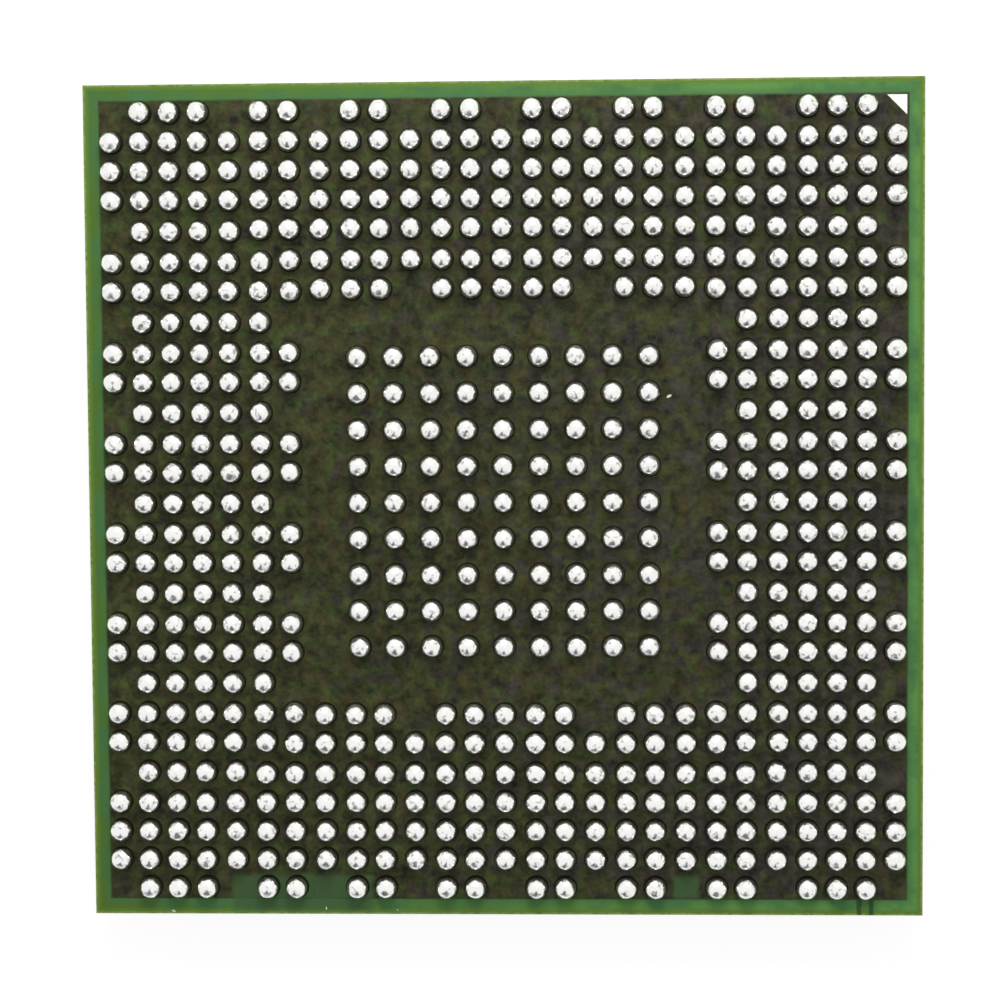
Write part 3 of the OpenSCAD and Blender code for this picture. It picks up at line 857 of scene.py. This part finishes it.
def silicon_finish(colour):
    """The ground back of the die: a dim mirror with fine grinding lines."""
    material, tree, shader = start_material("silicon_finish", Metallic=0.85)
    where = place(tree, "TexCoord").outputs["Object"]
    wheel = {"Vector": where, "Location": (30 * MM, -45 * MM, 0)}
    moved = place(tree, "Mapping", wheel).outputs["Vector"]
    lines = {"Vector": moved, "Scale": 900.0, "Distortion": 0.6, "Detail": 2.0, "Detail Scale": 1.5}
    arcs = place(
        tree, "TexWave", lines, wave_type="RINGS", rings_direction="Z", wave_profile="SIN"
    ).outputs["Fac"]
    haze = noise(tree, where, 350.0, detail=3.0, roughness=0.6)
    shaded = mix(tree, rise(tree, haze, 0.35, 0.7), colour, scaled(colour, 0.82))
    hazed = calc(tree, "MULTIPLY_ADD", haze, 0.12, 0.1)
    feed(tree, shader, Base_Color=shaded, Roughness=hazed, Normal=relief(tree, arcs, 0.25 * UM, 0.5))
    return material


def dress(material, *nodes):
    """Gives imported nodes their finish."""
    for name in nodes:
        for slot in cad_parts[name].material_slots:
            slot.material = material


# ---------------------------------------------------------------- operators


class PACKAGE_OT_solder_balls(bpy.types.Operator):
    """Model a few reflowed balls and set copies of them in rows over the grid"""

    bl_idname = "package.solder_balls"
    bl_label = "Solder Balls"

    def execute(self, context):
        sizes = context.scene.package_solder
        chance = random.Random(sizes.seed)
        material = metal_finish(
            "solder_ball_finish", sizes.metal, sizes.dull, (0.17, 0.3), 78 * UM, 0.29 * MM, 0.6
        )
        low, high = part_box("balls_row_b")
        centre_z = high.z - (high.y - low.y) / 2
        seat_depth = centre_z - low.z
        masters = [model_ball(sizes, n, seat_depth, chance) for n in range(sizes.shapes)]
        # Each ball gets a dark ring at its foot: flux residue, and a painted contact shadow on the mask
        residue = model_shadow_ring(sizes)
        mask_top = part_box("ball_side_mask")[1].z
        rings = []
        for name, sites in [*ring_rows(), *centre_rows()]:
            balls = []
            for x, y in sites:
                master = chance.choice(masters)
                balls.append(copy_of(master, name, x, y, centre_z, chance.uniform(0, math.tau)))
                turn = chance.uniform(0, math.tau)
                rings.append(copy_of(residue, "flux_residue", x, y, mask_top + SHADOW_RING_LIFT, turn))
            join(balls)
            finish_piece(context.object, "reflowed_" + name, material, "solder_ball")
            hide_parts(name)
        join(rings)
        # The ring's dark colour paints the contact shadow round each ball as well as flux residue
        ring_finish = resin_finish("residue_finish", sizes.residue, 0.6, 0.6, specular=0.05)
        finish_piece(context.object, "flux_residue", ring_finish, "solder_ball")
        for master in [*masters, residue]:
            bpy.data.objects.remove(master)
        return {"FINISHED"}


class PACKAGE_OT_ball_side(bpy.types.Operator):
    """Finish the ball-side mask with the marks in its copper, and the index triangle"""

    bl_idname = "package.ball_side"
    bl_label = "Ball Side"

    def execute(self, context):
        colours = context.scene.package_substrate
        plane_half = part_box("ball_side_plane")[1].x
        body_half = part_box("core")[1].x
        left = -line_at(LONG_GAP_LINES[0]) - LONG_GAP_MARGIN
        right = -line_at(LONG_GAP_LINES[1]) + FINE_PITCH / 2
        gap_top = -plane_half + GAP_DEPTH
        gap_low = -body_half + GAP_TO_CUT
        gaps = (
            ((left + right) / 2, (gap_top + gap_low) / 2, (right - left) / 2, (gap_top - gap_low) / 2),
            (line_at(SHORT_GAP_LINE), gap_top - GAP_DEPTH / 2, SHORT_GAP_WIDTH / 2, GAP_DEPTH / 2),
        )
        low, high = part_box("plating_tails")
        middle, half = (low.y + high.y) / 2, (high.y - low.y) / 2
        tails = (low.x + TAIL_WIDTH / 2, high.x - TAIL_WIDTH / 2)
        strips = [(x, middle, TAIL_WIDTH / 2, half) for x in tails]
        palette = {
            "field": colours.field, "green": colours.field_green, "grey": colours.field_grey,
            "border": colours.border, "olive": colours.border_olive, "teal": colours.border_teal,
            "rim": colours.rim, "burr": colours.burr, "bare": colours.bare, "tail": colours.tail,
        }
        sheet = lighter_copy("ball_side_mask", "mask_sheet", MASK_SHARE)
        finish = mask_finish("ball_side_mask_finish", palette, plane_half, body_half, gaps, strips)
        finish_piece(sheet, "mask_sheet", finish, "ball_side_mask", 1)
        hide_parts("ball_side_mask")
        tin = metal_finish("tin_finish", colours.tin, DULL_TIN, (0.25, 0.4), 2 * UM)
        dress(tin, "index_triangle")
        return {"FINISHED"}


class PACKAGE_OT_substrate(bpy.types.Operator):
    """Finish the core, the films, the copper, the pads and the die-side mask"""

    bl_idname = "package.substrate"
    bl_label = "Substrate"

    def execute(self, context):
        colours = context.scene.package_substrate
        cloth, fine_cloth = (0.44 * MM, 0.11 * MM), (0.3 * MM, 0.03 * MM)
        core = laminate_finish("core_finish", colours.core, colours.glass, cloth, 5 * UM)
        dress(core, "core")
        fibre = scaled(colours.film, 1.2)
        film = laminate_finish("film_finish", colours.film, fibre, fine_cloth, 2 * UM)
        dress(film, "ball_side_film", "die_side_film")
        dull_copper = scaled(colours.copper, 0.6)
        copper = metal_finish("copper_finish", colours.copper, dull_copper, (0.3, 0.5), 2 * UM)
        dress(copper, "ball_side_plane", "ball_side_inner_plane", "core_barrels", "plating_tails")
        dress(copper, "die_side_plane", "die_side_inner_plane")
        pad = metal_finish("pad_finish", colours.pad, scaled(colours.pad, 0.7), (0.25, 0.45), 2 * UM)
        dress(pad, "ball_pads", "bump_pads", "capacitor_pads")
        dress(resin_finish("plug_finish", colours.plug, 0.8, 0.6), "barrel_plugs")
        plane_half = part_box("die_side_plane")[1].x
        body_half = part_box("core")[1].x
        darker = scaled(colours.die_mask, 0.8)
        palette = {
            "field": colours.die_mask, "green": darker, "grey": darker,
            "border": colours.die_border, "olive": colours.die_border, "teal": colours.border_teal,
            "rim": colours.rim, "burr": colours.burr,
        }
        mask = mask_finish("die_side_mask_finish", palette, plane_half, body_half)
        dress(mask, "die_side_mask")
        dress(resin_finish("ink_finish", colours.ink, 0.9, 0.6), "die_side_index")
        return {"FINISHED"}


class PACKAGE_OT_die(bpy.types.Operator):
    """Finish the die, its bumps and its underfill"""

    bl_idname = "package.die"
    bl_label = "Die"

    def execute(self, context):
        colours = context.scene.package_die
        dress(silicon_finish(colours.silicon), "silicon_die")
        dress(resin_finish("underfill_finish", colours.underfill, 1.5, 0.22), "underfill")
        dress(metal_finish("bump_finish", *SOLDER_TONES, (0.25, 0.45), 2 * UM), "die_bumps")
        return {"FINISHED"}


class PACKAGE_OT_capacitors(bpy.types.Operator):
    """Model one chip capacitor with its metal ends and solder, and set twelve round the die"""

    bl_idname = "package.capacitors"
    bl_label = "Capacitors"

    def execute(self, context):
        sizes = context.scene.package_capacitors
        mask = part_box("die_side_mask")[0].z
        ceramic = resin_finish("ceramic_finish", sizes.ceramic, 0.8, 0.45)
        dull_end = scaled(sizes.end, 0.7)
        end = metal_finish("capacitor_end_finish", sizes.end, dull_end, (0.28, 0.5), 3 * UM)
        solder = metal_finish("fillet_finish", *SOLDER_TONES, (0.2, 0.4), 4 * UM)
        parts = (
            (model_ceramic(sizes, mask), "ceramic_bodies", "capacitor_bodies", "capacitor", ceramic),
            (model_end(sizes, mask), "tinned_ends", "capacitor_ends", "capacitor_end", end),
            (model_fillet(sizes, mask), "solder_fillets", "capacitor_joints", "solder", solder),
        )
        places = []
        for step in (-1, 0, 1):
            along = step * sizes.pitch
            places += [(along, side * sizes.row_y, 0) for side in (-1, 1)]
            places += [(side * sizes.row_x, along, math.pi / 2) for side in (-1, 1)]
        for master, name, node, slot, material in parts:
            turns = (0,) if node == "capacitor_bodies" else (0, math.pi)
            copies = [
                copy_of(master, name, x, y, 0, turn + more) for x, y, turn in places for more in turns
            ]
            join(copies)
            finish_piece(context.object, name, material, slot, 40)
            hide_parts(node)
            bpy.data.objects.remove(master)
        return {"FINISHED"}


class PACKAGE_OT_flakes(bpy.types.Operator):
    """Model the few pale flakes of dust that lie on the mask"""

    bl_idname = "package.flakes"
    bl_label = "Flakes"

    def execute(self, context):
        sizes = context.scene.package_flakes
        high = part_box("ball_side_mask")[1]
        flakes = []
        for index in range(sizes.count):
            flake = model_flake(sizes, sizes.length * (1 - FLAKE_SHRINK * index), index)
            x, y = FLAKE_PLACES[index]
            flake.location = (x * high.x, y * high.y, high.z - (FLAKE_DROP if index else 0))
            # Each flake is turned by one radian more than the one before
            flake.rotation_euler = (0, 0, 0.5 - index)
            flakes.append(flake)
        join(flakes)
        finish = resin_finish("flake_finish", sizes.pale, 0.85, 0.8, 0.3)
        finish_piece(context.object, "dust_flakes", finish, None, 30)
        return {"FINISHED"}


def card_masks(tree, height, turn):
    """Where the dark card stands in the sky, where its lighter middle is, and the haze around it."""
    aside = calc(tree, "ABSOLUTE", calc(tree, "ADD", turn, CARD_TURN))
    below_top = calc(tree, "SUBTRACT", CARD_TOP, height)
    half_width = calc(tree, "MULTIPLY_ADD", below_top, CARD_FLARE, CARD_NECK)
    depth = calc(tree, "SUBTRACT", half_width, aside)
    sides = rise(tree, depth, *CARD_SIDE_SPAN)
    upright = calc(tree, "MULTIPLY", sides, rise(tree, height, *CARD_FOOT_SPAN))
    card = calc(tree, "MULTIPLY", upright, rise(tree, below_top, *CARD_TOP_SPAN))
    middle_sides = rise(tree, depth, *MIDDLE_SIDE_SPAN)
    middle = calc(tree, "MULTIPLY", middle_sides, rise(tree, below_top, *MIDDLE_TOP_SPAN))
    haze_sides = rise(tree, aside, *HAZE_SIDE_SPAN)
    haze = calc(tree, "MULTIPLY", haze_sides, rise(tree, height, *HAZE_HEIGHT_SPAN))
    return card, middle, haze


def world_light(settings):
    """An even white sky with one dark card in it, which the balls mirror, and a white background."""
    world = bpy.data.worlds.new("studio")
    world.use_nodes = True
    tree = world.node_tree
    background = tree.nodes["Background"]
    facing = place(tree, "TexCoord").outputs["Generated"]
    parts = place(tree, "SeparateXYZ", {0: facing}).outputs
    height = calc(tree, "ARCSINE", parts["Z"])
    turn = calc(tree, "ARCTAN2", parts["X"], calc(tree, "MULTIPLY", parts["Y"], -1.0))
    card, middle, haze = card_masks(tree, height, turn)
    path = place(tree, "LightPath").outputs
    seen = calc(tree, "ADD", path["Is Camera Ray"], path["Is Transmission Ray"], clamp=True)
    hidden = calc(tree, "SUBTRACT", 1.0, seen)
    dark = mix(tree, middle, (settings.dark_card,) * 3, MIDDLE_TONE)
    hazed = mix(tree, calc(tree, "MULTIPLY", haze, hidden), (1, 1, 1), HAZE_TONE)
    sky = mix(tree, calc(tree, "MULTIPLY", card, hidden), hazed, dark)
    tree.links.new(sky, background.inputs["Color"])
    plain = calc(tree, "ADD", seen, path["Is Glossy Ray"], clamp=True)
    strength = calc(tree, "MULTIPLY_ADD", plain, 1.0 - settings.sky, settings.sky)
    tree.links.new(strength, background.inputs["Strength"])
    world.cycles.sampling_method = "NONE"
    bpy.context.scene.world = world


def floor_finish(settings):
    """A pale floor that renders white where nothing shades it."""
    material, tree, shader = start_material("floor_finish", Roughness=0.9, Specular_IOR_Level=0.0)
    pale = (settings.floor_tone,) * 3
    where = place(tree, "TexCoord").outputs["Object"]
    feed(tree, shader, Base_Color=mix(tree, noise(tree, where, 40.0), pale, scaled(pale, 0.98)))
    path = place(tree, "LightPath").outputs
    seen = calc(tree, "ADD", path["Is Camera Ray"], path["Is Glossy Ray"], clamp=True)
    seen = calc(tree, "ADD", seen, path["Is Transmission Ray"], clamp=True)
    # What the sky doesn't give the floor, the glow adds, up to just over white
    missing = 1.02 - settings.floor_tone * settings.sky
    glow = place(tree, "Emission", {"Strength": calc(tree, "MULTIPLY", seen, missing)})
    both = place(tree, "AddShader", {0: shader.outputs[0], 1: glow.outputs[0]})
    tree.links.new(both.outputs[0], tree.nodes["Material Output"].inputs["Surface"])
    return material


class PACKAGE_OT_stage(bpy.types.Operator):
    """Set up the floor, the light and the camera"""

    bl_idname = "package.stage"
    bl_label = "Stage"

    def execute(self, context):
        settings = context.scene.package_stage
        clear_selection()
        bpy.ops.mesh.primitive_plane_add(size=FLOOR_SIDE, location=(0, 0, -FLOOR_DROP))
        floor = context.object
        floor.name = "floor"
        floor.data.materials.append(floor_finish(settings))
        world_light(settings)
        bpy.ops.object.light_add(type="AREA", location=LAMP_PLACE)
        lamp = context.object
        lamp.name = "back_lamp"
        lamp.rotation_euler = (LAMP_TILT, 0, 0)
        lamp.data.energy = settings.lamp_power
        lamp.data.size = LAMP_SIDE
        lamp.visible_camera = False
        bpy.ops.object.camera_add(location=CAMERA_PLACE)
        camera = context.object
        camera.name = "camera"
        camera.rotation_euler = CAMERA_TURN
        camera.data.lens = settings.lens
        camera.data.sensor_width = SENSOR_WIDTH
        camera.data.clip_start = MM
        context.scene.camera = camera
        context.scene.view_settings.view_transform = "Standard"
        clear_selection()
        return {"FINISHED"}


class PACKAGE_PT_sidebar(bpy.types.Panel):
    """The package's pieces and their settings"""

    bl_label = "Package"
    bl_idname = "PACKAGE_PT_sidebar"
    bl_space_type = "VIEW_3D"
    bl_region_type = "UI"
    bl_category = "Package"

    def draw(self, context):
        for operator, settings in SIDEBAR:
            box = self.layout.box()
            box.operator(operator.bl_idname)
            group = getattr(context.scene, settings)
            for name in group.__annotations__:
                box.prop(group, name)


SETTINGS = {
    "package_solder": SolderSettings,
    "package_substrate": SubstrateSettings,
    "package_die": DieSettings,
    "package_capacitors": CapacitorSettings,
    "package_flakes": FlakeSettings,
    "package_stage": StageSettings,
}
SIDEBAR = (
    (PACKAGE_OT_stage, "package_stage"),
    (PACKAGE_OT_solder_balls, "package_solder"),
    (PACKAGE_OT_ball_side, "package_substrate"),
    (PACKAGE_OT_substrate, "package_substrate"),
    (PACKAGE_OT_die, "package_die"),
    (PACKAGE_OT_capacitors, "package_capacitors"),
    (PACKAGE_OT_flakes, "package_flakes"),
)


def register():
    """Registers the settings, the operators and the panel."""
    for name, group in SETTINGS.items():
        bpy.utils.register_class(group)
        setattr(bpy.types.Scene, name, PointerProperty(type=group))
    for operator, _ in SIDEBAR:
        bpy.utils.register_class(operator)
    bpy.utils.register_class(PACKAGE_PT_sidebar)


def unregister():
    """Takes away what register added."""
    bpy.utils.unregister_class(PACKAGE_PT_sidebar)
    for operator, _ in reversed(SIDEBAR):
        bpy.utils.unregister_class(operator)
    for name, group in SETTINGS.items():
        delattr(bpy.types.Scene, name)
        bpy.utils.unregister_class(group)


def main():
    """Models and dresses the whole package."""
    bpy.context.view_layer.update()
    register()
    bpy.ops.package.stage()
    bpy.ops.package.solder_balls()
    bpy.ops.package.ball_side()
    bpy.ops.package.substrate()
    bpy.ops.package.die()
    bpy.ops.package.capacitors()
    bpy.ops.package.flakes()


if __name__ == "__main__":
    main()
